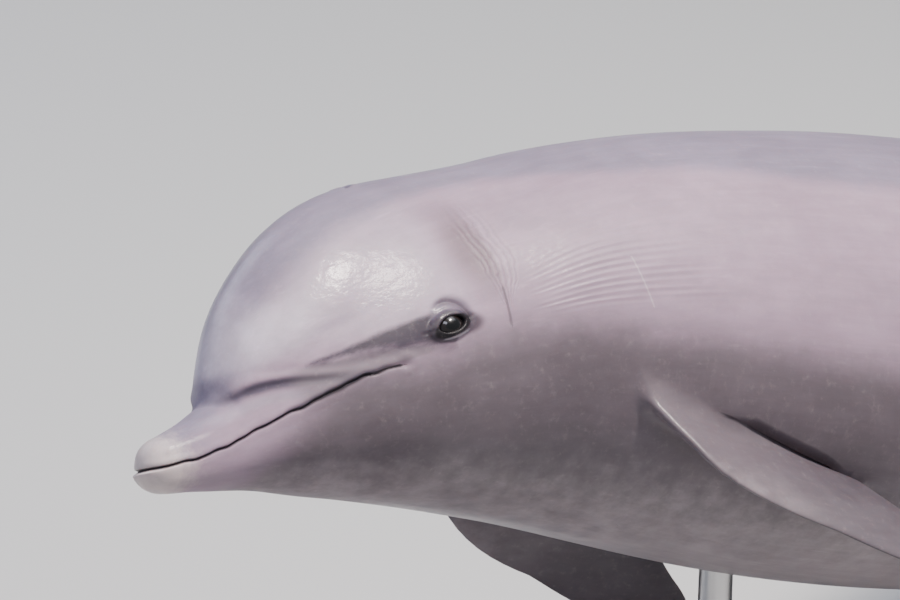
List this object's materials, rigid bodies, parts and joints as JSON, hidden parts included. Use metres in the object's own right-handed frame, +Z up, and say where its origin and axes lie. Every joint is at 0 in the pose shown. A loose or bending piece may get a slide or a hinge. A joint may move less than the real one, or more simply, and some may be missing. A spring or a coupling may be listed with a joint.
{
  "type": "bottlenose dolphin, life-size display model",
  "caption": "Life-size still model of a bottlenose dolphin surfacing, left side up, held on a flat base by slim steel rods.",
  "frame": {"origin": "centre of the underside of the stand's base, where it meets the floor", "axes": "+Z up; the beak points along -X and the tail along +X; the animal's left side is towards -Y and turned upwards"},
  "size_m": [2.4438, 0.6537, 0.9771],
  "materials": {
    "dolphin_skin": "smooth wet skin, grey-lavender with a darker back and a pale underside",
    "dolphin_eye": "very dark brown, under a clear wet coat",
    "stand_paint": "satin charcoal paint on board",
    "stand_steel": "brushed"
  },
  "bodies": {
    "root": {"rostrum": "dolphin_skin", "lower_jaw": "dolphin_skin", "melon": "dolphin_skin", "head": "dolphin_skin", "eye_left": "dolphin_eye", "eye_right": "dolphin_eye", "neck": "dolphin_skin", "chest": "dolphin_skin", "abdomen": "dolphin_skin", "tail_stock": "dolphin_skin", "dorsal_fin": "dolphin_skin", "flipper_left": "dolphin_skin", "flipper_right": "dolphin_skin", "fluke_left": "dolphin_skin", "fluke_right": "dolphin_skin", "stand_base": "stand_paint", "stand_rod_front": "stand_steel", "stand_rod_rear": "stand_steel", "stand_collar_front": "stand_steel", "stand_collar_rear": "stand_steel"}
  },
  "joints": []
}
